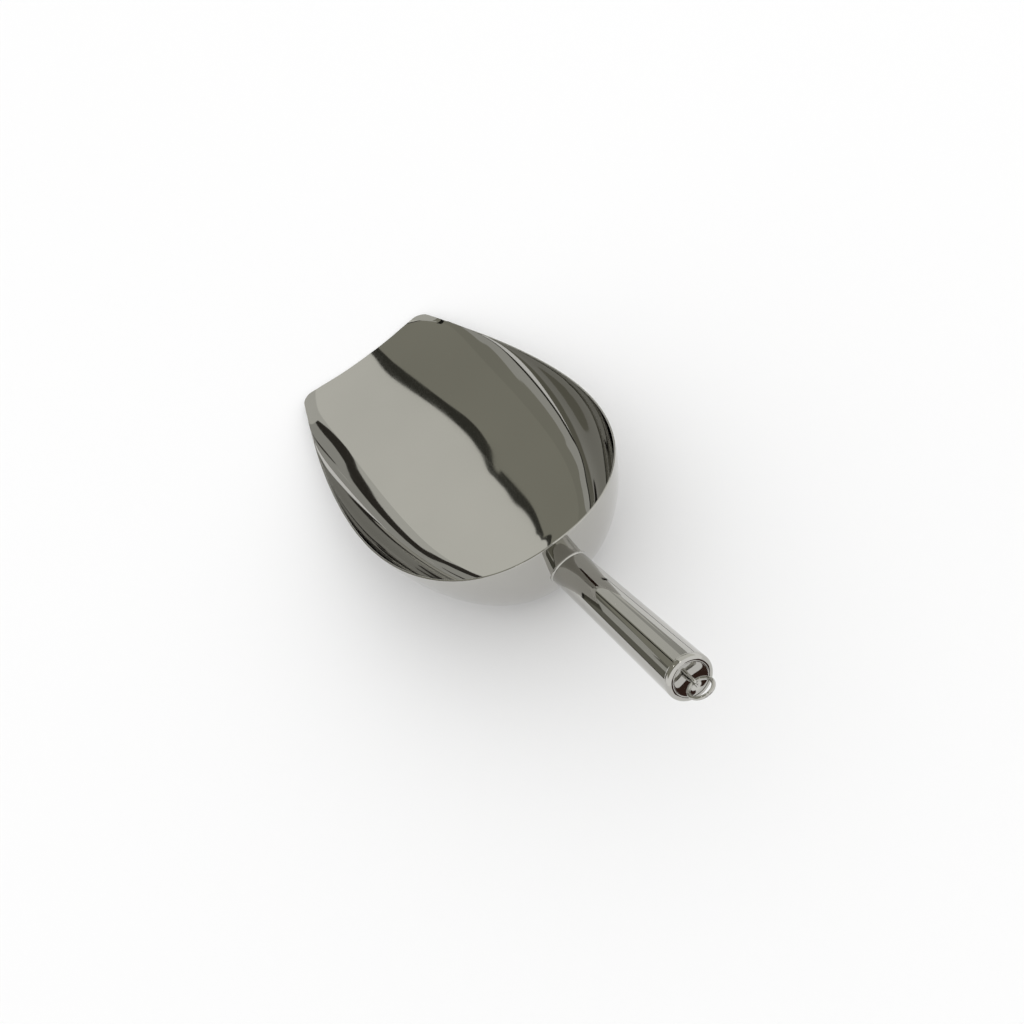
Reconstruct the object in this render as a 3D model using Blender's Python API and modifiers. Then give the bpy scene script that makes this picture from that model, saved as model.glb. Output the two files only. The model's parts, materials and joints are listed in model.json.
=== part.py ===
"""Ice scoop: a deep pressed bowl, a tapered tube handle welded to its back wall, and a hanging ring.

Metres, +Z up, +X towards the pouring lip. The floor of the bowl lies on z = 0, and the origin is
the middle of the bounding box at that height. The scoop is symmetric about y = 0.
"""

import math

import bmesh
import bpy
from mathutils import Matrix, Vector

# Bowl: one pressed sheet, measured on its outer face.
SHEET = 0.0009
BACK_TO_WIDEST = 0.1065
WIDEST_TO_LIP = 0.1397
HALF_WIDTH = 0.0691
LIP_HALF_WIDTH = 0.0434
LIP_CORNER = 0.0060
BACK_HEIGHT = 0.0851
LIP_HEIGHT = 0.0028
RIM_SAG = 0.0069

# Exponents that set how round the bowl's outlines are.
BACK_ALONG, BACK_ACROSS = 2.18, 2.30
SIDE_TAPER = 1.79
WALL_FULLNESS, LIP_FULLNESS = 3.5, 2.0
WALL_SHOULDER, LIP_SHOULDER = 1.46, 1.0
FLAT_SHARE = 0.24

# The floor is a shallow trough on both sides of a flat strip that the scoop rests on.
TROUGH_RADIUS = 0.32
STRIP_HALF_WIDTH = 0.004

# Handle: a tube on an axis that climbs backwards from the bowl's back wall.
HANDLE_RISE = math.radians(23.0)
JOINT_HEIGHT = 0.0532
HANDLE_LENGTH = 0.1187
ROOT_RADIUS = 0.0096
END_RADIUS = 0.0110
TUBE_WALL = 0.0012
END_ROUNDING = 0.0024
BEAD_RADIUS = 0.0007

# Handle end: a dished cap, and a wire eye that holds the hanging ring.
CAP_THICKNESS = 0.0010
CAP_DISH = 0.0012
EYE_WIRE = 0.0007
PIVOT_ABOVE_END = 0.0023
RING_RADIUS = 0.0055
RING_WIRE = 0.0009
RING_PLAY = 0.0003

GAP = 0.0003
WELD_STEPS = 72
ROUND_STEPS = 56
PART_NAME = "ice_scoop"


def half_width(along):
    """The bowl's half width at a distance from the widest section, positive towards the lip."""
    if along < 0:
        share = min(1.0, -along / BACK_TO_WIDEST)
        return HALF_WIDTH * (1 - share**BACK_ALONG) ** (1 / BACK_ACROSS)
    share = along / WIDEST_TO_LIP
    return LIP_HALF_WIDTH + (HALF_WIDTH - LIP_HALF_WIDTH) * (1 - share**SIDE_TAPER)


def rim_height(along):
    share = (along + BACK_TO_WIDEST) / (BACK_TO_WIDEST + WIDEST_TO_LIP)
    straight = BACK_HEIGHT + (LIP_HEIGHT - BACK_HEIGHT) * share
    return straight - RIM_SAG * 4 * share * (1 - share)


def height_at(along, across, reach):
    """The outer face's height: the wall's climb to the rim, over the trough of the floor."""
    share = max(0.0, along / WIDEST_TO_LIP) ** 2
    fullness = WALL_FULLNESS + (LIP_FULLNESS - WALL_FULLNESS) * share
    shoulder = WALL_SHOULDER + (LIP_SHOULDER - WALL_SHOULDER) * share
    climbed = min(1.0, max(0.0, (reach - FLAT_SHARE) / (1 - FLAT_SHARE)))
    wall = 1 - (1 - climbed**fullness) ** (1 / shoulder)
    trough = max(0.0, abs(across) - STRIP_HALF_WIDTH) ** 2 / (2 * TROUGH_RADIUS)
    return rim_height(along) * wall + trough * (1 - wall)


def back_point(turn, reach):
    """A point on the back of the bowl: turn runs from 0 at the back to a quarter at the side."""
    along = -BACK_TO_WIDEST * abs(math.cos(turn)) ** (2 / BACK_ALONG) * reach
    across = HALF_WIDTH * abs(math.sin(turn)) ** (2 / BACK_ACROSS) * math.copysign(reach, turn)
    return Vector((along, across, height_at(along, across, reach)))


def front_point(along, reach):
    across = half_width(along) * reach
    return Vector((along, across, height_at(along, across, abs(reach))))


def reach_of(along, across):
    """The share of the way out to the rim at a place on the back of the bowl."""
    low, high = 0.0, 1.5
    for _ in range(50):
        middle = (low + high) / 2
        inside = (-along / BACK_TO_WIDEST / middle) ** BACK_ALONG
        inside += (abs(across) / HALF_WIDTH / middle) ** BACK_ACROSS
        low, high = (middle, high) if inside > 1 else (low, middle)
    return high


def wall_along(across, height):
    """How far along the outer face of the back wall lies, at a place across and a height."""
    low, high = -BACK_TO_WIDEST, -BACK_TO_WIDEST / 2
    for _ in range(50):
        middle = (low + high) / 2
        reach = reach_of(middle, across)
        outside = reach > 1 or height_at(middle, across, reach) > height
        low, high = (middle, high) if outside else (low, middle)
    return high


def wall_normal(across, height, step=0.0004):
    """The outward normal of the back wall."""
    over = (wall_along(across + step, height) - wall_along(across - step, height)) / (2 * step)
    up = (wall_along(across, height + step) - wall_along(across, height - step)) / (2 * step)
    return Vector((-1, over, up)).normalized()


AXIS = Vector((-math.cos(HANDLE_RISE), 0, math.sin(HANDLE_RISE)))
UPWARD = Vector((math.sin(HANDLE_RISE), 0, math.cos(HANDLE_RISE)))
SIDEWAYS = Vector((0, 1, 0))
JOINT = Vector((wall_along(0, JOINT_HEIGHT), 0, JOINT_HEIGHT))
RING_MIDDLE = JOINT + AXIS * (HANDLE_LENGTH + PIVOT_ABOVE_END + RING_RADIUS)
REARMOST = RING_MIDDLE.x - RING_RADIUS * math.cos(HANDLE_RISE) - RING_WIRE
MIDDLE_X = (REARMOST + WIDEST_TO_LIP) / 2


def tube_radius(along_handle):
    return ROOT_RADIUS + (END_RADIUS - ROOT_RADIUS) * along_handle / HANDLE_LENGTH


def clear_scene():
    for thing in list(bpy.data.objects):
        bpy.data.objects.remove(thing, do_unlink=True)


def new_collection(name, is_helper=False):
    made = bpy.data.collections.new(name)
    bpy.context.scene.collection.children.link(made)
    made.hide_render = is_helper
    return made


def steel(name, colour, roughness):
    material = bpy.data.materials.new(name)
    material.use_nodes = True
    shader = material.node_tree.nodes["Principled BSDF"]
    shader.inputs["Base Color"].default_value = (*colour, 1)
    shader.inputs["Metallic"].default_value = 1.0
    shader.inputs["Roughness"].default_value = roughness
    return material


def add_object(name, data, collection, parent, material=None):
    thing = bpy.data.objects.new(name, data)
    collection.objects.link(thing)
    thing.parent = parent
    if material:
        data.materials.append(material)
    return thing


def shade_smooth(mesh, angle=math.radians(35)):
    mesh.shade_smooth()
    mesh.set_sharp_from_angle(angle=angle)


def frame_matrix(origin):
    """Local Z runs out along the handle, local X upwards from it and local Y across it."""
    across = AXIS.cross(UPWARD)
    turn = Matrix((UPWARD, across, AXIS)).transposed().to_4x4()
    return Matrix.Translation(origin) @ turn


def reaches(limit, width, flat_steps=3, wall_steps=14):
    """Shares of the way out: the strip's edge, the floor, then closer and closer up to the rim."""
    strip = STRIP_HALF_WIDTH / width
    floor = [strip + (FLAT_SHARE - strip) * step / flat_steps for step in range(flat_steps)]
    climb = [math.sin(math.pi / 2 * step / wall_steps) for step in range(wall_steps + 1)]
    return floor + [FLAT_SHARE + (limit - FLAT_SHARE) * step for step in climb]


def front_stations(count=13, corner_steps=5):
    """Sections from the widest one to the lip, each with the share of its width that is kept."""
    straight = WIDEST_TO_LIP - LIP_CORNER
    stations = [(straight * step / count, 1.0) for step in range(count + 1)]
    for step in range(1, corner_steps + 1):
        turn = math.pi / 2 * step / corner_steps
        along = straight + LIP_CORNER * math.sin(turn)
        cut = LIP_CORNER * (1 - math.cos(turn))
        stations.append((along, 1 - cut / half_width(along)))
    return stations


def bowl_sheet(back_rays=30):
    """The bowl's outer face, lofted: a fan of rays round the back and sections to the lip."""
    grid = bmesh.new()
    hub = grid.verts.new((0, 0, 0))
    rows = []
    for ray in range(back_rays + 1):
        turn = math.pi * (ray / back_rays - 0.5)
        rows.append([grid.verts.new(back_point(turn, reach)) for reach in reaches(1.0, HALF_WIDTH)])
    for first, second in zip(rows, rows[1:]):
        grid.faces.new((hub, first[0], second[0]))
        for near in range(len(first) - 1):
            grid.faces.new((first[near], first[near + 1], second[near + 1], second[near]))
    previous = rows[0][::-1] + [hub] + rows[-1]
    for along, kept in front_stations()[1:]:
        out = reaches(kept, half_width(along))
        shares = [-share for share in reversed(out)] + [0.0] + out
        section = [grid.verts.new(front_point(along, share)) for share in shares]
        for side in range(len(section) - 1):
            corners = (previous[side], previous[side + 1], section[side + 1], section[side])
            grid.faces.new(corners)
        previous = section
    bmesh.ops.recalc_face_normals(grid, faces=grid.faces)
    if grid.faces[0].normal.z > 0:
        bmesh.ops.reverse_faces(grid, faces=grid.faces)
    mesh = bpy.data.meshes.new("bowl_sheet")
    grid.to_mesh(mesh)
    grid.free()
    return mesh


def make_bowl(parts, root):
    bright = steel("polished_sheet", (0.62, 0.61, 0.57), 0.05)
    bowl = add_object("bowl_shell", bowl_sheet(), parts, root, bright)
    wall = bowl.modifiers.new("sheet_thickness", "SOLIDIFY")
    wall.thickness = SHEET
    wall.offset = -1
    wall.use_even_offset = True
    shade_smooth(bowl.data)


def turned(name, profile, parts, parent, material):
    """A solid turned round local Z from a closed profile of (radius, height) points."""
    mesh = bpy.data.meshes.new(name)
    count = len(profile)
    on_axis = profile[0][0] == 0
    edges = [(index, (index + 1) % count) for index in range(count - 1 if on_axis else count)]
    mesh.from_pydata([(radius, 0, height) for radius, height in profile], edges, [])
    thing = add_object(name, mesh, parts, parent, material)
    lathe = thing.modifiers.new("turned", "SCREW")
    lathe.axis = "Z"
    lathe.steps = lathe.render_steps = ROUND_STEPS
    lathe.use_merge_vertices = True
    lathe.merge_threshold = 0.00001
    lathe.use_smooth_shade = True
    return thing


def arc(centre, radius, start, end, steps):
    turns = [math.radians(start + (end - start) * step / steps) for step in range(steps + 1)]
    return [(centre[0] + radius * math.cos(t), centre[1] + radius * math.sin(t)) for t in turns]


def cope_cutter(helpers, root, cells=28, height_share=0.8):
    """A block whose rear face is the bowl's outer face, grown by the gap, for cutting the root."""
    reach = 2 * ROOT_RADIUS
    block = bmesh.new()
    bmesh.ops.create_grid(block, x_segments=cells, y_segments=cells, size=reach)
    for corner in block.verts:
        across = corner.co.x
        height = JOINT_HEIGHT + corner.co.y * height_share
        normal = wall_normal(across, height)
        corner.co = Vector((wall_along(across, height), across, height)) + normal * GAP
    inward = Vector((2 * reach, 0, 0))
    pushed = bmesh.ops.extrude_face_region(block, geom=list(block.faces))
    moved = [thing for thing in pushed["geom"] if isinstance(thing, bmesh.types.BMVert)]
    bmesh.ops.translate(block, vec=inward, verts=moved)
    bmesh.ops.recalc_face_normals(block, faces=block.faces)
    mesh = bpy.data.meshes.new("cope_cutter")
    block.to_mesh(mesh)
    block.free()
    cutter = add_object("cope_cutter", mesh, helpers, root)
    cutter.hide_render = True
    cutter.display_type = "WIRE"
    return cutter


def make_handle(parts, helpers, root, axis_empty):
    inside = -1.5 * ROOT_RADIUS
    straight_end = HANDLE_LENGTH - END_ROUNDING
    crown = (END_RADIUS - END_ROUNDING, straight_end)
    profile = arc(crown, END_ROUNDING, 90, 0, 8)
    profile += [(tube_radius(inside), inside), (tube_radius(inside) - TUBE_WALL, inside)]
    profile += arc(crown, END_ROUNDING - TUBE_WALL, 0, 90, 5)
    bright = steel("polished_tube", (0.62, 0.61, 0.57), 0.05)
    tube = turned("handle_tube", profile, parts, axis_empty, bright)
    cope = tube.modifiers.new("coped_to_bowl", "BOOLEAN")
    cope.operation = "DIFFERENCE"
    cope.object = cope_cutter(helpers, root)


def bead_point(turn):
    """The bead's centre: clear of the tube and of the wall by its radius and the gap."""
    spoke = UPWARD * math.cos(turn) + SIDEWAYS * math.sin(turn)
    stand_off = BEAD_RADIUS + GAP
    wanted = ROOT_RADIUS + stand_off
    spread = wanted
    for _ in range(12):
        target = JOINT + spoke * spread
        low, high = -0.03, 0.03
        for _ in range(40):
            middle = (low + high) / 2
            place = target + AXIS * middle
            low, high = (low, middle) if place.x < wall_along(place.y, place.z) else (middle, high)
        place = target + AXIS * high
        centre = place + wall_normal(place.y, place.z) * stand_off
        offset = centre - JOINT
        away = (offset - AXIS * offset.dot(AXIS)).length
        spread += tube_radius(offset.dot(AXIS)) + stand_off - away
    return centre


def wire(name, points, radius, parts, parent, material, closed=False):
    curve = bpy.data.curves.new(name, "CURVE")
    curve.dimensions = "3D"
    curve.bevel_depth = radius
    curve.bevel_resolution = 3
    curve.use_fill_caps = not closed
    spline = curve.splines.new("POLY")
    spline.points.add(len(points) - 1)
    for knot, place in zip(spline.points, points):
        knot.co = (*place, 1)
    spline.use_cyclic_u = closed
    return add_object(name, curve, parts, parent, material)


def make_weld(parts, root):
    points = [bead_point(2 * math.pi * step / WELD_STEPS) for step in range(WELD_STEPS)]
    bright = steel("polished_weld", (0.58, 0.57, 0.53), 0.12)
    wire("weld_bead", points, BEAD_RADIUS, parts, root, bright, True)


def make_cap(parts, axis_empty):
    """A dished disc inside the tube's rounded mouth."""
    edge = END_RADIUS - END_ROUNDING - GAP
    top = HANDLE_LENGTH - GAP
    steps = 8
    shares = [step / steps for step in range(steps + 1)]
    upper = [(edge * share, top - CAP_DISH * (1 - share**2) ** 2) for share in shares]
    lower = [(radius, height - CAP_THICKNESS) for radius, height in reversed(upper)]
    turned("end_cap", upper + lower, parts, axis_empty, steel("polished_cap", (0.55, 0.53, 0.50), 0.06))


def make_eye(parts, axis_empty):
    """A wire arch on the cap, in the upright plane, that the ring passes through."""
    bend = RING_WIRE + RING_PLAY + EYE_WIRE
    pivot = HANDLE_LENGTH + PIVOT_ABOVE_END
    share = bend / (END_RADIUS - END_ROUNDING - GAP)
    foot = HANDLE_LENGTH - GAP - CAP_DISH * (1 - share**2) ** 2 + GAP + EYE_WIRE / 2
    arch = [(x, 0, z) for x, z in arc((0, pivot), bend, 180, 0, 14)]
    points = [(-bend, 0, foot), *arch, (bend, 0, foot)]
    wire("ring_eye", points, EYE_WIRE, parts, axis_empty, steel("eye_wire", (0.55, 0.53, 0.50), 0.08))


def make_ring(parts, pivot_empty):
    """The hanging ring: its origin is where its wire passes through the eye."""
    bpy.ops.mesh.primitive_torus_add(
        major_radius=RING_RADIUS, minor_radius=RING_WIRE, major_segments=48, minor_segments=12
    )
    ring = bpy.context.object
    ring.name = ring.data.name = "hanging_ring"
    for holder in list(ring.users_collection):
        holder.objects.unlink(ring)
    parts.objects.link(ring)
    ring.data.transform(Matrix.Rotation(math.pi / 2, 4, "Y"))
    ring.data.transform(Matrix.Translation((0, 0, RING_RADIUS)))
    ring.parent = pivot_empty
    ring.data.materials.append(steel("ring_wire", (0.62, 0.61, 0.58), 0.07))
    shade_smooth(ring.data)


def main():
    clear_scene()
    parts = new_collection(PART_NAME)
    helpers = new_collection("cutters", is_helper=True)
    root = add_object("scoop_origin", None, parts, None)
    root.location = (-MIDDLE_X, 0, 0)
    axis_empty = add_object("handle_axis", None, parts, root)
    axis_empty.matrix_local = frame_matrix(JOINT)
    pivot_empty = add_object("ring_pivot", None, parts, root)
    pivot_empty.matrix_local = frame_matrix(JOINT + AXIS * (HANDLE_LENGTH + PIVOT_ABOVE_END))
    make_bowl(parts, root)
    make_handle(parts, helpers, root, axis_empty)
    make_weld(parts, root)
    make_cap(parts, axis_empty)
    make_eye(parts, axis_empty)
    make_ring(parts, pivot_empty)


main()
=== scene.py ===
import json
import math

import bmesh
import bpy
from bpy.props import FloatProperty, FloatVectorProperty, IntProperty, PointerProperty
from mathutils import Matrix, Vector


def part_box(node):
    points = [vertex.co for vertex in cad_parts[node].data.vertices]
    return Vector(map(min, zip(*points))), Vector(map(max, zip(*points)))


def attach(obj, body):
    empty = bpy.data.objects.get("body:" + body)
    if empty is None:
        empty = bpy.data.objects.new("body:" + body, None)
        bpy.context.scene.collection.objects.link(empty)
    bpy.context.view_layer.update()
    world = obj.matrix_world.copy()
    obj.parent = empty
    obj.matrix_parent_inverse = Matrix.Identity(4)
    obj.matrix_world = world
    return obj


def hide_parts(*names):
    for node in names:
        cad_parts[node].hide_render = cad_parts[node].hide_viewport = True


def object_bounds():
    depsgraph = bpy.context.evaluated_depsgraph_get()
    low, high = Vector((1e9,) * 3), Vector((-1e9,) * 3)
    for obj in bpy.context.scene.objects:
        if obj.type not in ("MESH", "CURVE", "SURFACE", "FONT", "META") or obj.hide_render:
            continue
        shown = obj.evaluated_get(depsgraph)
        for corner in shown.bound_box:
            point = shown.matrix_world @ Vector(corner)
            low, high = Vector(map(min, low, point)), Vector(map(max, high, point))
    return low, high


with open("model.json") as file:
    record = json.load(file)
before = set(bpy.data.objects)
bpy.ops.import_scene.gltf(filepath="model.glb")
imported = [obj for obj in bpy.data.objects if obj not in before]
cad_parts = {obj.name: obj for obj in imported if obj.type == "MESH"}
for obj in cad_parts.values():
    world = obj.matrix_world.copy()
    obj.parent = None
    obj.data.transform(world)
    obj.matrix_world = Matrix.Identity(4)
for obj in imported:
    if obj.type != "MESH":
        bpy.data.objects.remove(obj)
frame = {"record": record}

bl_info = {
    "name": "Ice Scoop",
    "version": (1, 0, 0),
    "blender": (4, 5, 0),
    "location": "View3D > Sidebar > Ice Scoop",
    "description": "Models a mirror polished ice scoop and its studio round the packed frame",
    "category": "Add Mesh",
}

CAD_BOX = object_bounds()
BOWL_LOW, BOWL_HIGH = (Vector(corner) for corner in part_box("bowl_shell"))
RING_PIVOT = Vector(frame["record"]["behaviour"]["joints"][0]["pos_m"])
SCOOP_BODY, RING_BODY = "scoop", "ring"


# --------------------------------------------------------------------------- settings


def length(name, description, default):
    return FloatProperty(name=name, description=description, default=default, unit="LENGTH", precision=5)


def factor(name, description, default, highest=10.0):
    return FloatProperty(name=name, description=description, default=default, min=0.0, max=highest)


def angle(name, description, degrees):
    default = math.radians(degrees)
    return FloatProperty(name=name, description=description, default=default, subtype="ANGLE")


def colour(name, description, default):
    look = {"subtype": "COLOR", "min": 0, "max": 1}
    return FloatVectorProperty(name=name, description=description, default=default, **look)


class BowlSettings(bpy.types.PropertyGroup):
    sheet: length("Sheet", "Thickness of the pressed sheet", 0.0009)
    back_to_widest: length("Back to widest", "From the back of the rim to the widest section", 0.1065)
    lip_half_width: length("Lip half width", "Half the width of the pouring lip", 0.0434)
    lip_corner: length("Lip corner", "Radius of the lip's two corners", 0.0060)
    lip_height: length("Lip height", "How far the lip's ends stand above its middle", 0.0028)
    rim_sag: length("Rim sag", "How far the rim dips below a straight slope", 0.0069)
    rim_rounding: length("Rim rounding", "Radius on the rim's two edges", 0.00028)
    back_along: factor("Back along", "Roundness of the back of the rim, lengthwise", 2.18)
    back_across: factor("Back across", "Roundness of the back of the rim, crosswise", 2.30)
    side_taper: factor("Side taper", "How late the sides turn in towards the lip", 1.79)
    wall_fullness: factor("Wall fullness", "How late the floor turns up into the wall", 3.5)
    lip_fullness: factor("Lip fullness", "The same at the lip", 2.0)
    wall_shoulder: factor("Wall shoulder", "How upright the wall stands at the rim", 1.46)
    lip_shoulder: factor("Lip shoulder", "The same at the lip", 1.0)
    trough_radius: length("Trough radius", "Radius of the floor's shallow trough", 0.32)
    flat_share: factor("Flat share", "Share of the half width that lies flat", 0.24, 1.0)


class HandleSettings(bpy.types.PropertyGroup):
    rise: angle("Rise", "Slope of the handle", 23)
    reach: length("Length", "From the bowl's wall to the end of the handle", 0.1187)
    root_radius: length("Root radius", "Outer radius at the bowl", 0.0096)
    end_radius: length("End radius", "Outer radius at the end", 0.0110)
    end_rounding: length("End rounding", "Radius of the spun-in end", 0.0024)
    wall: length("Wall", "Thickness of the tube", 0.0012)
    fillet: length("Fillet", "Radius of the ground weld round the root", 0.0007)
    sides: IntProperty(name="Sides", description="Steps round the handle", default=96, min=24, max=256)


class EndSettings(bpy.types.PropertyGroup):
    gap: length("Gap", "Play between the cap and the tube's mouth", 0.0003)
    cap_thickness: length("Cap thickness", "Thickness of the cap", 0.0010)
    cap_dish: length("Cap dish", "How deep the cap is dished", 0.0012)
    pivot_above_end: length("Pivot above end", "Height of the ring's pivot over the handle's end", 0.0023)
    eye_wire: length("Eye wire", "Radius of the eye's wire", 0.0007)
    ring_radius: length("Ring radius", "Radius of the ring at the middle of its wire", 0.0055)
    ring_wire: length("Ring wire", "Radius of the ring's wire", 0.0009)
    ring_play: length("Ring play", "Play between the ring and its eye", 0.0003)


class SteelSettings(bpy.types.PropertyGroup):
    tint: colour("Tint", "Colour of the polished steel", (0.45, 0.442, 0.414))
    roughness: factor("Roughness", "Roughness of the polish", 0.035, 1.0)
    waviness: factor("Waviness", "Strength of the unevenness left by pressing", 0.05, 1.0)


class StageSettings(bpy.types.PropertyGroup):
    floor_tint: colour("Floor", "Colour of the floor", (0.86, 0.86, 0.86))
    elevation: angle("Elevation", "Height of the camera as an angle", 53.48)
    bearing: angle("Bearing", "Where the camera stands, turned from +X", 168.91)
    roll: angle("Roll", "Turn of the camera about its line of sight", -28.04)
    distance: length("Distance", "From the aim point to the camera", 0.8052)
    lens: factor("Lens", "Focal length for a 36 mm sensor", 52.73, 200)
    world: factor("World light", "Strength of the light from all round", 1.25)


class ScoopSettings(bpy.types.PropertyGroup):
    bowl: PointerProperty(type=BowlSettings)
    handle: PointerProperty(type=HandleSettings)
    end: PointerProperty(type=EndSettings)
    steel: PointerProperty(type=SteelSettings)
    stage: PointerProperty(type=StageSettings)


def settings():
    return bpy.context.scene.ice_scoop


# --------------------------------------------------------------------------- shader maths


class Signal:
    """A node socket that takes part in Python arithmetic by adding Math nodes."""

    def __init__(self, shop, socket):
        self.shop, self.socket = shop, socket

    def _math(self, operation, first, second):
        return self.shop.node("ShaderNodeMath", {"operation": operation}, {0: first, 1: second})

    def __add__(self, other):
        return self._math("ADD", self, other)

    def __radd__(self, other):
        return self._math("ADD", other, self)

    def __mul__(self, other):
        return self._math("MULTIPLY", self, other)

    def __rmul__(self, other):
        return self._math("MULTIPLY", other, self)


class ShaderShop:
    """Adds nodes to one material: a type, its settings first, then the values or links of its sockets."""

    def __init__(self, name):
        self.material = bpy.data.materials.new(name)
        self.material.use_nodes = True
        self.tree = self.material.node_tree
        self.shader = self.tree.nodes["Principled BSDF"]

    def feed(self, socket, value):
        if isinstance(value, Signal):
            self.tree.links.new(value.socket, socket)
        else:
            socket.default_value = value

    def node(self, kind, options=None, inputs=None, output=0):
        made = self.tree.nodes.new(kind)
        for key, value in (options or {}).items():
            setattr(made, key, value)
        for key, value in (inputs or {}).items():
            self.feed(made.inputs[key], value)
        return Signal(self, made.outputs[output])

    def place(self, scale, turn):
        where = self.node("ShaderNodeTexCoord", output="Object")
        return self.node("ShaderNodeMapping", {}, {"Vector": where, "Scale": scale, "Rotation": turn})

    def noise(self, scale, detail, stretch=(1, 1, 1), turn=(0, 0, 0)):
        inputs = {"Vector": self.place(stretch, turn), "Scale": scale, "Detail": detail}
        return self.node("ShaderNodeTexNoise", {}, inputs)

    def mix(self, amount, first, second):
        inputs = {0: amount, 6: first, 7: second}
        return self.node("ShaderNodeMix", {"data_type": "RGBA"}, inputs, output=2)

    def clamp(self, value, low, high):
        """How far a value has come from low to high, between 0 and 1."""
        return self.node("ShaderNodeMapRange", {"clamp": True}, {0: value, 1: low, 2: high})


def polished_steel(name, scale=1.0, roughness_gain=1.0, turn=(0, 0, 0)):
    """Mirror polished steel: faint buffing lines, slow unevenness from pressing, and a few specks."""
    clouds, waves, lines, grains = (per_metre * scale for per_metre in (11, 26, 420, 900))
    line_stretch, cloud_shade = 0.05, 0.94
    line_height, speck_height, speck_roughness = 0.0006, 0.004, 0.25
    steel = settings().steel
    shop = ShaderShop(name)
    tint = (*steel.tint, 1)
    cloudy = shop.noise(clouds, 3)
    buffing = shop.noise(lines, 2, stretch=(line_stretch, 1, 1), turn=turn)
    specks = shop.clamp(shop.noise(grains, 1), 0.80, 0.84)
    darker = tuple(part * cloud_shade for part in steel.tint) + (1,)
    shop.feed(shop.shader.inputs["Base Color"], shop.mix(shop.clamp(cloudy, 0.35, 0.7), tint, darker))
    shop.feed(shop.shader.inputs["Metallic"], 1.0)
    rough = steel.roughness * roughness_gain * (0.75 + shop.clamp(buffing, 0.3, 0.7) * 0.5)
    shop.feed(shop.shader.inputs["Roughness"], rough + specks * speck_roughness)
    height = shop.noise(waves, 2) * steel.waviness + buffing * line_height + specks * speck_height
    bump = shop.node("ShaderNodeBump", {}, {"Strength": 0.25, "Distance": 0.001, "Height": height})
    shop.feed(shop.shader.inputs["Normal"], bump)
    return shop.material


# --------------------------------------------------------------------------- modelling helpers


def deselect_all():
    if bpy.context.object and bpy.context.object.mode != "OBJECT":
        bpy.ops.object.mode_set(mode="OBJECT")
    bpy.ops.object.select_all(action="DESELECT")


def choose(*things):
    deselect_all()
    for thing in things:
        thing.select_set(True)
    bpy.context.view_layer.objects.active = things[0]


def edit(thing, kind="VERT"):
    choose(thing)
    bpy.ops.object.mode_set(mode="EDIT")
    bpy.ops.mesh.select_mode(type=kind)
    bpy.ops.mesh.select_all(action="SELECT")


def leave_edit():
    bpy.ops.object.mode_set(mode="OBJECT")


def tidy_mesh(thing, threshold=0.000002):
    edit(thing)
    bpy.ops.mesh.remove_doubles(threshold=threshold)
    bpy.ops.mesh.normals_make_consistent(inside=False)
    leave_edit()


def apply_modifier(thing, kind, **options):
    choose(thing)
    modifier = thing.modifiers.new(kind.lower(), kind)
    for key, value in options.items():
        setattr(modifier, key, value)
    bpy.ops.object.modifier_apply(modifier=modifier.name)


def finish_piece(thing, name, material, body, replaced, smooth=math.radians(40)):
    """Names a piece, gives it its material, and hands it to the frame in place of a CAD node."""
    choose(thing)
    bpy.ops.object.transform_apply(location=True, rotation=True, scale=True)
    bpy.ops.object.shade_smooth_by_angle(angle=smooth)
    thing.name = thing.data.name = name
    thing.data.materials.clear()
    thing.data.materials.append(material)
    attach(thing, body)
    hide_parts(replaced)
    deselect_all()
    return thing


def shaped_grid(columns, rows, place):
    """A primitive grid whose points go where place says, from two shares between 0 and 1."""
    deselect_all()
    bpy.ops.mesh.primitive_grid_add(x_subdivisions=columns, y_subdivisions=rows, size=2)
    grid = bpy.context.object
    for point in grid.data.vertices:
        shares = (min(1.0, max(0.0, (reach + 1) / 2)) for reach in point.co.xy)
        point.co = place(*shares)
    return grid


def turned_piece(profile, base, axis, spoke, sides):
    """A closed profile of (radius, height) points, spun round an axis."""
    deselect_all()
    mesh = bpy.data.meshes.new("profile")
    points = [base + spoke * radius + axis * height for radius, height in profile]
    closed = profile[0][0] > 0
    count = len(points)
    edges = [(index, (index + 1) % count) for index in range(count if closed else count - 1)]
    mesh.from_pydata(points, edges, [])
    thing = bpy.data.objects.new("turned", mesh)
    bpy.context.scene.collection.objects.link(thing)
    edit(thing)
    bpy.ops.mesh.spin(steps=sides, angle=2 * math.pi, center=base, axis=axis)
    leave_edit()
    tidy_mesh(thing)
    return thing


def arc(centre, radius, start, end, steps):
    turns = [math.radians(start + (end - start) * step / steps) for step in range(steps + 1)]
    return [(centre[0] + radius * math.cos(t), centre[1] + radius * math.sin(t)) for t in turns]


# --------------------------------------------------------------------------- shape of the scoop


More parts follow.
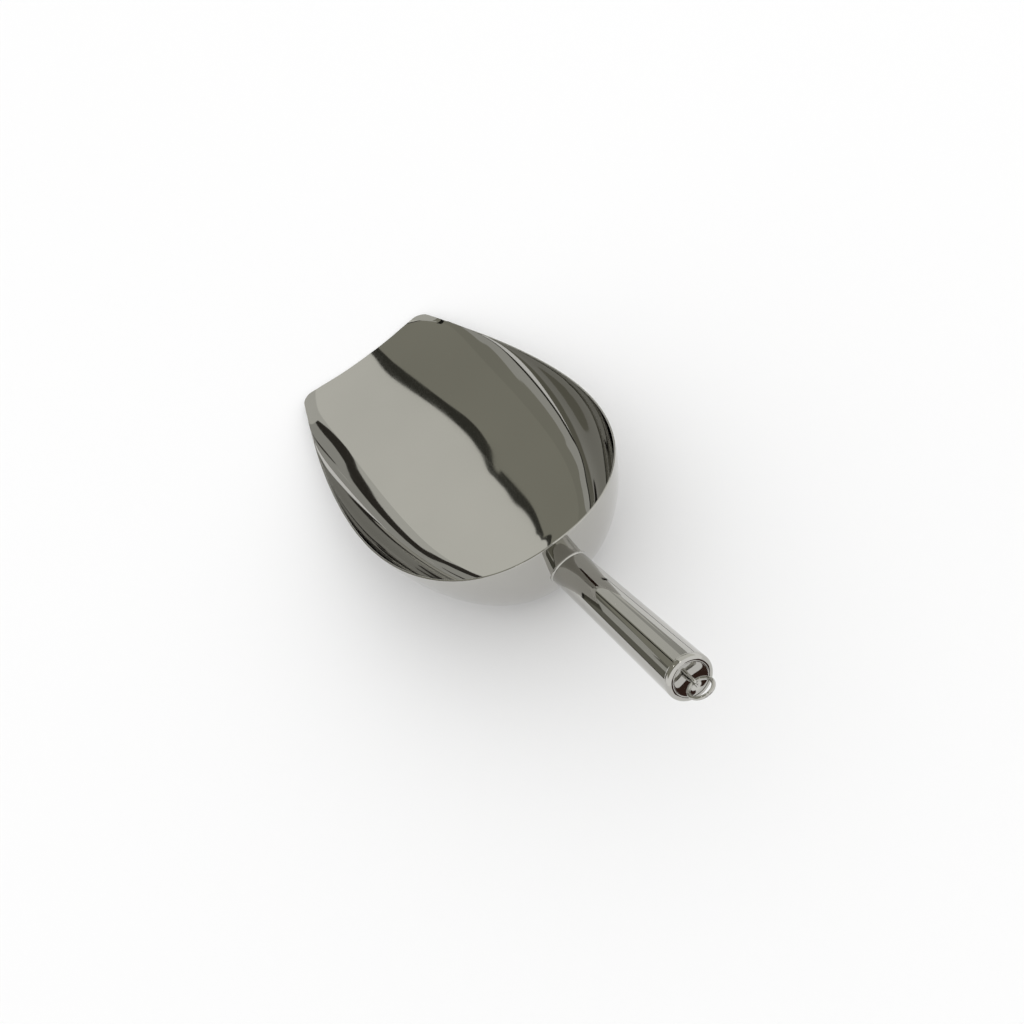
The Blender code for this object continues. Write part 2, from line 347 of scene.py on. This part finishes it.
class BowlShape:
    """The bowl's outer face, from the frame's box and the settings."""

    def __init__(self, bowl):
        self.bowl = bowl
        self.widest_x = BOWL_LOW.x + bowl.back_to_widest
        self.to_lip = BOWL_HIGH.x - self.widest_x
        self.half = BOWL_HIGH.y
        self.back_height = BOWL_HIGH.z - BOWL_LOW.z

    def half_width(self, along):
        share = along / self.to_lip
        lip = self.bowl.lip_half_width
        return lip + (self.half - lip) * (1 - share**self.bowl.side_taper)

    def rim_height(self, along):
        share = (along + self.bowl.back_to_widest) / (self.bowl.back_to_widest + self.to_lip)
        straight = self.back_height + (self.bowl.lip_height - self.back_height) * share
        return straight - self.bowl.rim_sag * 4 * share * (1 - share)

    def height(self, along, across, reach):
        """The wall's climb to the rim, over the trough of the floor."""
        bowl = self.bowl
        share = max(0.0, along / self.to_lip) ** 2
        fullness = bowl.wall_fullness + (bowl.lip_fullness - bowl.wall_fullness) * share
        shoulder = bowl.wall_shoulder + (bowl.lip_shoulder - bowl.wall_shoulder) * share
        climbed = min(1.0, max(0.0, (reach - bowl.flat_share) / (1 - bowl.flat_share)))
        wall = 1 - (1 - climbed**fullness) ** (1 / shoulder)
        trough = across**2 / (2 * bowl.trough_radius)
        return BOWL_LOW.z + self.rim_height(along) * wall + trough * (1 - wall)

    def reach_at(self, share, limit=1.0):
        """Shares of the way out, closer together towards the rim, where the wall stands upright."""
        flat = self.bowl.flat_share
        flat_columns = 0.2
        if share < flat_columns:
            return flat * share / flat_columns
        return flat + (limit - flat) * math.sin(math.pi / 2 * (share - flat_columns) / (1 - flat_columns))

    def back(self, reach, turn):
        turn = math.pi * (turn - 0.5)
        reach = self.reach_at(reach)
        bowl = self.bowl
        along = -bowl.back_to_widest * abs(math.cos(turn)) ** (2 / bowl.back_along) * reach
        across = self.half * abs(math.sin(turn)) ** (2 / bowl.back_across) * math.copysign(reach, turn)
        return Vector((self.widest_x + along, across, self.height(along, across, reach)))

    def front(self, side, forward):
        bowl = self.bowl
        corner_rows = 0.15
        straight = self.to_lip - bowl.lip_corner
        along, kept = straight * forward / (1 - corner_rows), 1.0
        if forward > 1 - corner_rows:
            turn = math.pi / 2 * (forward - 1 + corner_rows) / corner_rows
            along = straight + bowl.lip_corner * math.sin(turn)
            kept = 1 - bowl.lip_corner * (1 - math.cos(turn)) / self.half_width(along)
        side = side * 2 - 1
        reach = math.copysign(self.reach_at(abs(side), kept), side)
        across = self.half_width(along) * reach
        return Vector((self.widest_x + along, across, self.height(along, across, abs(reach))))


class HandleShape:
    """Where the handle's axis lies, measured back from the ring's pivot."""

    def __init__(self, scoop):
        handle = scoop.handle
        self.handle = handle
        self.axis = Vector((-math.cos(handle.rise), 0, math.sin(handle.rise)))
        self.upward = Vector((math.sin(handle.rise), 0, math.cos(handle.rise)))
        self.sideways = Vector((0, 1, 0))
        self.end = RING_PIVOT - self.axis * scoop.end.pivot_above_end
        self.base = self.end - self.axis * handle.reach
        self.sink = scoop.bowl.sheet * 0.4

    def spoke(self, turn):
        return self.upward * math.cos(turn) + self.sideways * math.sin(turn)

    def radius(self, height):
        handle = self.handle
        return handle.root_radius + (handle.end_radius - handle.root_radius) * height / handle.reach

    def wall_hit(self, bowl, turn, radius):
        """Where a line along the handle meets the bowl's outer face, and the face's normal there."""
        clear_of_bowl = 0.04
        start = self.base + self.spoke(turn) * radius + self.axis * clear_of_bowl
        found, place, normal, _ = bowl.ray_cast(start, -self.axis)
        if not found:
            raise RuntimeError("the handle's root misses the bowl")
        return place, normal


def modelled_bowl():
    return bpy.data.objects["polished_bowl"]


# --------------------------------------------------------------------------- operators


class SCOOP_OT_bowl(bpy.types.Operator):
    """Model the pressed bowl: two grids shaped into one sheet, thickened, with its rim eased"""

    bl_idname = "ice_scoop.bowl"
    bl_label = "Bowl"

    def execute(self, context):
        bowl = settings().bowl
        shape = BowlShape(bowl)
        back = shaped_grid(columns=40, rows=84, place=shape.back)
        front = shaped_grid(columns=80, rows=66, place=shape.front)
        choose(back, front)
        bpy.ops.object.join()
        sheet = context.object
        tidy_mesh(sheet, threshold=0.00001)
        floor = min(sheet.data.polygons, key=lambda face: face.center.z + abs(face.center.y))
        if floor.normal.z > 0:
            edit(sheet)
            bpy.ops.mesh.flip_normals()
            leave_edit()
        apply_modifier(sheet, "SOLIDIFY", thickness=bowl.sheet, offset=-1, use_even_offset=True)
        edit(sheet, "EDGE")
        bpy.ops.mesh.select_all(action="DESELECT")
        bpy.ops.mesh.edges_select_sharp(sharpness=math.radians(60))
        bpy.ops.mesh.bevel(offset=bowl.rim_rounding, segments=3, profile=0.5)
        leave_edit()
        apply_modifier(sheet, "SUBSURF", levels=1, render_levels=1)
        material = polished_steel("polished_sheet_steel")
        finish_piece(sheet, "polished_bowl", material, SCOOP_BODY, "bowl_shell")
        return {"FINISHED"}


class SCOOP_OT_handle(bpy.types.Operator):
    """Model the tube handle: a profile spun round its axis, its root fitted to the bowl's wall"""

    bl_idname = "ice_scoop.handle"
    bl_label = "Handle"

    def execute(self, context):
        scoop = settings()
        shape, handle = HandleShape(scoop), scoop.handle
        tube = turned_piece(self.profile(shape), shape.base, shape.axis, shape.upward, handle.sides)
        self.fit_root(tube, shape)
        material = polished_steel("polished_tube_steel", 1.4, turn=(0, handle.rise, 0))
        smooth = math.radians(28)
        finish_piece(tube, "polished_handle", material, SCOOP_BODY, "handle_tube", smooth)
        return {"FINISHED"}

    def profile(self, shape):
        """The outside from the mouth down to the root, with a groove for the seam, then the inside."""
        handle = shape.handle
        below_rounding, groove, stations = 0.0005, 0.00016, 28
        crown = (handle.end_radius - handle.end_rounding, handle.reach - handle.end_rounding)
        groove_at = crown[1] - below_rounding
        outer = arc(crown, handle.end_rounding, 90, 0, 14)
        outer += [
            (shape.radius(groove_at + groove), groove_at + groove),
            (shape.radius(groove_at) - groove, groove_at),
            (shape.radius(groove_at - groove), groove_at - groove),
        ]
        heights = [groove_at * (1 - step / stations) for step in range(1, stations + 1)]
        outer += [(shape.radius(height), height) for height in heights]
        inner = [(handle.root_radius - handle.wall, 0.0), (handle.end_radius - handle.wall, crown[1])]
        inner += arc(crown, handle.end_rounding - handle.wall, 0, 90, 8)[1:]
        return outer + inner

    def fit_root(self, tube, shape):
        """Slides the tube's first stretch along the axis, so that its root ends inside the wall."""
        stretch = 0.02
        bowl = modelled_bowl()
        for point in tube.data.vertices:
            offset = point.co - shape.base
            height = offset.dot(shape.axis)
            if height > stretch:
                continue
            spoke = offset - shape.axis * height
            turn = math.atan2(spoke.dot(shape.sideways), spoke.dot(shape.upward))
            place, _ = shape.wall_hit(bowl, turn, spoke.length)
            root = (place - shape.base).dot(shape.axis) - shape.sink
            point.co += shape.axis * root * (1 - height / stretch)


class SCOOP_OT_weld(bpy.types.Operator):
    """Model the ground weld: a torus whose rings follow the joint of tube and bowl"""

    bl_idname = "ice_scoop.weld"
    bl_label = "Weld"

    def execute(self, context):
        scoop = settings()
        shape, handle = HandleShape(scoop), scoop.handle
        bowl = modelled_bowl()
        outset, lift = handle.fillet * 0.2, handle.fillet * 0.3
        (broad, broad_count), (fine, fine_count) = (0.03, 23), (0.02, 37)
        deselect_all()
        major, minor = 1.0, 0.25
        bpy.ops.mesh.primitive_torus_add(
            major_radius=major, minor_radius=minor, major_segments=144, minor_segments=16
        )
        bead = context.object
        for point in bead.data.vertices:
            turn = math.atan2(point.co.y, point.co.x)
            across = (math.hypot(point.co.x, point.co.y) - major) / minor
            over = point.co.z / minor
            place, normal = shape.wall_hit(bowl, turn, handle.root_radius + outset)
            spoke = shape.spoke(turn)
            centre = place + normal * lift
            ripple = 1 + broad * math.sin(turn * broad_count) + fine * math.sin(turn * fine_count + 1)
            point.co = centre + (spoke * across + normal * over) * handle.fillet * ripple
        material = polished_steel("ground_weld_steel", 2.0, 2.0)
        finish_piece(bead, "ground_weld", material, SCOOP_BODY, "weld_bead")
        return {"FINISHED"}


class SCOOP_OT_cap(bpy.types.Operator):
    """Model the dished cap in the handle's mouth"""

    bl_idname = "ice_scoop.cap"
    bl_label = "End cap"

    def execute(self, context):
        scoop = settings()
        shape, handle, end = HandleShape(scoop), scoop.handle, scoop.end
        inset, edge_drop, steps = 0.0001, 0.0002, 24
        edge = handle.end_radius - handle.end_rounding - end.gap * 0.2
        top = handle.reach - inset
        shares = [step / steps for step in range(steps + 1)]
        upper = [(edge * share, top - end.cap_dish * (1 - share**2) ** 2) for share in shares]
        upper[-1] = (edge, top - edge_drop)
        lower = [(radius, height - end.cap_thickness) for radius, height in reversed(upper)]
        cap = turned_piece(upper + lower, shape.base, shape.axis, shape.upward, handle.sides)
        material = polished_steel("polished_cap_steel", 2.0, 1.3, turn=(0, handle.rise, 0))
        finish_piece(cap, "dished_cap", material, SCOOP_BODY, "end_cap")
        return {"FINISHED"}


def wire_piece(points, radius):
    """A round wire along a path: a curve with a round bevel, converted to a mesh with flat ends."""
    deselect_all()
    curve = bpy.data.curves.new("wire", "CURVE")
    curve.dimensions = "3D"
    curve.bevel_depth = radius
    curve.bevel_resolution = 6
    curve.use_fill_caps = True
    spline = curve.splines.new("POLY")
    spline.points.add(len(points) - 1)
    for knot, place in zip(spline.points, points):
        knot.co = (*place, 1)
    thing = bpy.data.objects.new("wire", curve)
    bpy.context.scene.collection.objects.link(thing)
    choose(thing)
    bpy.ops.object.convert(target="MESH")
    thing = bpy.context.object
    tidy_mesh(thing)
    return thing


class SCOOP_OT_eye(bpy.types.Operator):
    """Model the wire eye that stands on the cap and holds the ring"""

    bl_idname = "ice_scoop.eye"
    bl_label = "Ring eye"

    def execute(self, context):
        scoop = settings()
        shape, end = HandleShape(scoop), scoop.end
        bend = end.ring_wire + end.ring_play + end.eye_wire
        foot = -end.pivot_above_end - end.cap_dish
        arch = arc((0, 0), bend, 180, 0, 28)
        flat = [(-bend, foot), (-bend, foot * 0.5), *arch, (bend, foot * 0.5), (bend, foot)]
        points = [RING_PIVOT + shape.upward * over + shape.axis * out for over, out in flat]
        eye = wire_piece(points, end.eye_wire)
        material = polished_steel("eye_wire_steel", 3.0, 1.6)
        finish_piece(eye, "wire_eye", material, SCOOP_BODY, "ring_eye")
        return {"FINISHED"}


class SCOOP_OT_ring(bpy.types.Operator):
    """Model the hanging ring, a round wire bent into a circle with its ends butted"""

    bl_idname = "ice_scoop.ring"
    bl_label = "Hanging ring"

    def execute(self, context):
        scoop = settings()
        shape, end = HandleShape(scoop), scoop.end
        deselect_all()
        bpy.ops.mesh.primitive_torus_add(
            major_radius=end.ring_radius, minor_radius=end.ring_wire, major_segments=112, minor_segments=20
        )
        ring = context.object
        seam, pinch = 0.00036, 0.14
        for point in ring.data.vertices:
            around = abs(math.atan2(point.co.y, point.co.x)) * end.ring_radius
            if around < seam:
                centre = Vector((point.co.x, point.co.y, 0)).normalized() * end.ring_radius
                point.co = centre + (point.co - centre) * (1 - pinch + pinch * around / seam)
        turn = Matrix((shape.axis, shape.axis.cross(-shape.upward), shape.upward)).transposed().to_4x4()
        ring.matrix_world = Matrix.Translation(RING_PIVOT + shape.axis * end.ring_radius) @ turn
        material = polished_steel("ring_wire_steel", 3.0, 1.4)
        finish_piece(ring, "wire_ring", material, RING_BODY, "hanging_ring")
        return {"FINISHED"}


def emitter(name, tint, strength):
    """A material that only glows."""
    shop = ShaderShop(name)
    glow = shop.node("ShaderNodeEmission", {}, {"Color": (*tint, 1), "Strength": strength})
    shop.feed(shop.tree.nodes["Material Output"].inputs["Surface"], glow)
    shop.tree.nodes.remove(shop.shader)
    return shop.material


def card(name, points, faces, tint, strength):
    """A card out of the camera's sight that only shows in the steel."""
    mesh = bpy.data.meshes.new(name)
    mesh.from_pydata([Vector(point) for point in points], [], faces)
    mesh.materials.append(emitter(name, tint, strength))
    thing = bpy.data.objects.new(name, mesh)
    bpy.context.scene.collection.objects.link(thing)
    thing.visible_camera = False
    thing.visible_diffuse = False
    thing.visible_shadow = False


def strip(name, first, second, tint, strength):
    """A card between two edges with equally many points."""
    count = len(first)
    faces = [(step, step + 1, count + step + 1, count + step) for step in range(count - 1)]
    card(name, first + second, faces, tint, strength)


def smoothed(rows, steps=6):
    """The same rows with more between them, on a curve through them all."""
    more = []
    for index in range(len(rows) - 1):
        near = [rows[min(max(index + shift, 0), len(rows) - 1)] for shift in (-1, 0, 1, 2)]
        for step in range(steps):
            share = step / steps
            weights = (
                (-share + 2 * share**2 - share**3) / 2,
                (2 - 5 * share**2 + 3 * share**3) / 2,
                (share + 4 * share**2 - 3 * share**3) / 2,
                (share**3 - share**2) / 2,
            )
            more.append(tuple(sum(w * row[part] for w, row in zip(weights, near)) for part in range(3)))
    return [*more, rows[-1]]


def overhead(name, height, rows, tint, strength):
    """A level card: each row is a place along X with its lowest and highest Y."""
    rows = smoothed(rows)
    first = [(x, low, height) for x, low, high in rows]
    second = [(x, high, height) for x, low, high in rows]
    strip(name, first, second, tint, strength)


def upright(name, rows, tint, strength):
    """An upright card: each row is a place along X and Y with its lowest and highest Z."""
    first = [(x, y, low) for x, y, low, high in rows]
    second = [(x, y, high) for x, y, low, high in rows]
    strip(name, first, second, tint, strength)


def direction(bearing, elevation):
    """A unit vector, turned from +X and raised from level."""
    level = math.cos(elevation)
    return Vector((level * math.cos(bearing), level * math.sin(bearing), math.sin(elevation)))


def round_about(name, centre, rows, tint, strength, distance=1.1):
    """A card bent round a centre: each row is a bearing with its lowest and highest elevation."""

    def place(bearing, elevation):
        return Vector(centre) + direction(math.radians(bearing), math.radians(elevation)) * distance

    rows = smoothed(rows)
    first = [place(bearing, low) for bearing, low, high in rows]
    second = [place(bearing, high) for bearing, low, high in rows]
    strip(name, first, second, tint, strength)


class SCOOP_OT_stage(bpy.types.Operator):
    """Set up the floor, the light, the reflected cards and the camera"""

    bl_idname = "ice_scoop.stage"
    bl_label = "Stage"

    def execute(self, context):
        stage = settings().stage
        self.lay_floor(stage)
        self.light(stage)
        self.cards()
        self.aim_camera(context, stage)
        return {"FINISHED"}

    def lay_floor(self, stage):
        size, drop = 12, 0.0002
        deselect_all()
        bpy.ops.mesh.primitive_plane_add(size=size, location=(0, 0, CAD_BOX[0][2] - drop))
        floor = bpy.context.object
        floor.name = "pale_floor"
        shop = ShaderShop("pale_floor")
        shop.feed(shop.shader.inputs["Base Color"], (*stage.floor_tint, 1))
        shop.feed(shop.shader.inputs["Roughness"], 0.9)
        floor.data.materials.append(shop.material)

    def light(self, stage):
        grey = 0.92
        world = bpy.data.worlds.new("studio")
        bpy.context.scene.world = world
        world.use_nodes = True
        backdrop = world.node_tree.nodes["Background"]
        backdrop.inputs["Color"].default_value = (grey, grey, grey, 1)
        backdrop.inputs["Strength"].default_value = stage.world

    def cards(self):
        grey, olive, dusk = (0.93, 0.93, 0.88), (0.93, 0.92, 0.78), (0.92, 0.84, 0.72)
        brown = (0.92, 0.50, 0.38)
        self.ceiling(grey, olive)
        self.left_side(grey, dusk)
        self.right_side(grey, olive, dusk)
        self.beside_the_handle(grey, olive, dusk)
        self.behind_the_handle(grey, brown)

    def ceiling(self, grey, olive):
        """A light half and a dim half, with a dark beam winding between them."""
        height, gap = 1.2, 0.01
        back, front, side = -0.6, 3.4, 3
        # Each bend is a place along X, where the beam's middle lies in Y, and half its width.
        bends = [
            (0.840, -0.098, 0.014),
            (0.870, -0.100, 0.012),
            (0.894, -0.108, 0.011),
            (0.920, -0.103, 0.010),
            (0.945, -0.105, 0.005),
            (0.972, -0.104, 0.010),
            (1.010, -0.076, 0.021),
            (1.065, -0.062, 0.028),
            (1.140, -0.084, 0.020),
            (1.260, -0.119, 0.020),
            (1.320, -0.121, 0.016),
            (1.420, -0.120, 0.016),
        ]
        light = [(back, -side, -0.08)]
        light += [(x, -side, y) for x, y, half in bends]
        light += [(1.6, -side, -0.05), (front, -side, 0.1)]
        beam = [(back, -0.1, -0.06)]
        beam += [(x, y - half, y + half) for x, y, half in bends]
        beam += [(1.6, -0.06, -0.03), (front, 0.08, 0.12)]
        dim = [(back, -0.5, side), (front, -0.5, side)]
        overhead("light_ceiling", height, light, grey, 0.96)
        overhead("dark_beam", height - gap, beam, olive, 0.055)
        overhead("dim_ceiling", height + gap, dim, olive, 0.375)

    def left_side(self, grey, dusk):
        """What the left wall sees: a dark band with a duller wall below it."""
        centre = (0.07, 0.048, 0.01)
        band = [(-28, 24, 26), (-37, 22.5, 28), (-41, 22, 28.5), (-44.5, 20, 24.5)]
        band += [(-46.5, 16, 22), (-48.5, 11, 18), (-54, 4, 10)]
        wall = [(bearing, 7, low) for bearing, low, high in band[:-1]] + [(-54, -3, 4)]
        line = [(-37, 9.5, 11), (-42, 9, 11.5), (-46, 9.5, 10.5)]
        round_about("left_band", centre, band, dusk, 0.045)
        round_about("left_wall", centre, wall, grey, 0.50, distance=1.11)
        round_about("left_base", centre, [(-38, -4, 7), (-62, -4, 7)], grey, 0.50, distance=1.115)
        round_about("left_line", centre, line, dusk, 0.06, distance=1.09)

    def right_side(self, grey, olive, dusk):
        """What the right wall sees: a light stripe over a dark line and a dark wall."""
        centre, stripe_distance, line_width = (0.04, -0.052, 0.013), 0.6, 1.8
        stripe = [(28, 7, 13), (31, 7, 17), (37.7, 7, 17), (41.5, 3, 13)]
        stripe += [(44, 1, 13), (45.5, 2, 14), (46.7, 2, 11), (52, 0, 8)]
        line = [(bearing, low - line_width, low) for bearing, low, high in stripe]
        wall = [(66, -8, 7), (40, -8, 7), (32, -5, 13), (6, -5, 14)]
        haze = [(66, 6, 28), (40, 6, 28), (32, 12, 28), (6, 13, 28)]
        round_about("right_stripe", centre, stripe, grey, 0.56, stripe_distance)
        round_about("right_line", centre, line, dusk, 0.02, stripe_distance)
        round_about("right_wall", centre, wall, olive, 0.20, distance=1.12)
        round_about("right_haze", centre, haze, olive, 0.34, distance=1.13)

    def beside_the_handle(self, grey, olive, dusk):
        """Stripes along the handle: a light wall in front with a dark line, a board and two bars."""
        centre, bar_y = (-0.11, 0, 0.09), 0.118
        board = [(0.10, 0.12, 0.001, 0.062), (-0.08, 0.12, 0.046, 0.110)]
        round_about("front_wall", centre, [(6, -5, 24), (-44, -5, 24)], grey, 0.76, distance=1.5)
        round_about("front_line", centre, [(9, 7, 22), (6, 7, 22)], olive, 0.02)
        upright("left_board", board, olive, 0.20)
        for name, y in (("left_bar", bar_y), ("right_bar", -bar_y)):
            upright(name, [(0.10, y, 0.001, 0.007), (-0.08, y, 0.040, 0.046)], dusk, 0.03)

    def behind_the_handle(self, grey, brown):
        """Something brown behind the handle's end, and two small lamps above it."""
        centre, near, lamp_width, lamp_height = (-0.17, 0, 0.095), 0.25, 16, 6
        round_about("brown_left", centre, [(-196, -20, 3), (-176, -20, 3)], brown, 0.06, near)
        round_about("brown_right", centre, [(-170, -20, 3), (-148, -20, 3)], brown, 0.06, near)
        for name, bearing, rise in (("lamp_left", 60, 66), ("lamp_back", -160, 70)):
            low, high = rise - lamp_height / 2, rise + lamp_height / 2
            sides = (bearing - lamp_width / 2, bearing + lamp_width / 2)
            round_about(name, centre, [(side, low, high) for side in sides], grey, 4.0)

    def aim_camera(self, context, stage):
        aim = Vector((0.0257, -0.0049, 0.0))
        towards = direction(stage.bearing, stage.elevation)
        camera = bpy.data.objects.new("camera", bpy.data.cameras.new("camera"))
        context.scene.collection.objects.link(camera)
        turn = towards.to_track_quat("Z", "Y").to_matrix() @ Matrix.Rotation(stage.roll, 3, "Z")
        camera.matrix_world = Matrix.Translation(aim + towards * stage.distance) @ turn.to_4x4()
        camera.data.lens = stage.lens
        camera.data.sensor_width = 36
        context.scene.camera = camera
        context.scene.view_settings.view_transform = "Standard"


class SCOOP_PT_panel(bpy.types.Panel):
    bl_label = "Ice Scoop"
    bl_idname = "SCOOP_PT_panel"
    bl_space_type = "VIEW_3D"
    bl_region_type = "UI"
    bl_category = "Ice Scoop"

    def draw(self, context):
        for operator in OPERATORS:
            self.layout.operator(operator.bl_idname)
        scoop = settings()
        for group in (scoop.bowl, scoop.handle, scoop.end, scoop.steel, scoop.stage):
            box = self.layout.box()
            for name in group.bl_rna.properties.keys():
                if name not in ("rna_type", "name"):
                    box.prop(group, name)


OPERATORS = (
    SCOOP_OT_bowl,
    SCOOP_OT_handle,
    SCOOP_OT_weld,
    SCOOP_OT_cap,
    SCOOP_OT_eye,
    SCOOP_OT_ring,
    SCOOP_OT_stage,
)
CLASSES = (
    BowlSettings,
    HandleSettings,
    EndSettings,
    SteelSettings,
    StageSettings,
    ScoopSettings,
    *OPERATORS,
    SCOOP_PT_panel,
)


def register():
    for each in CLASSES:
        bpy.utils.register_class(each)
    bpy.types.Scene.ice_scoop = PointerProperty(type=ScoopSettings)


def unregister():
    del bpy.types.Scene.ice_scoop
    for each in reversed(CLASSES):
        bpy.utils.unregister_class(each)


def main():
    register()
    bpy.ops.ice_scoop.bowl()
    bpy.ops.ice_scoop.handle()
    bpy.ops.ice_scoop.weld()
    bpy.ops.ice_scoop.cap()
    bpy.ops.ice_scoop.eye()
    bpy.ops.ice_scoop.ring()
    bpy.ops.ice_scoop.stage()


if __name__ == "__main__":
    main()
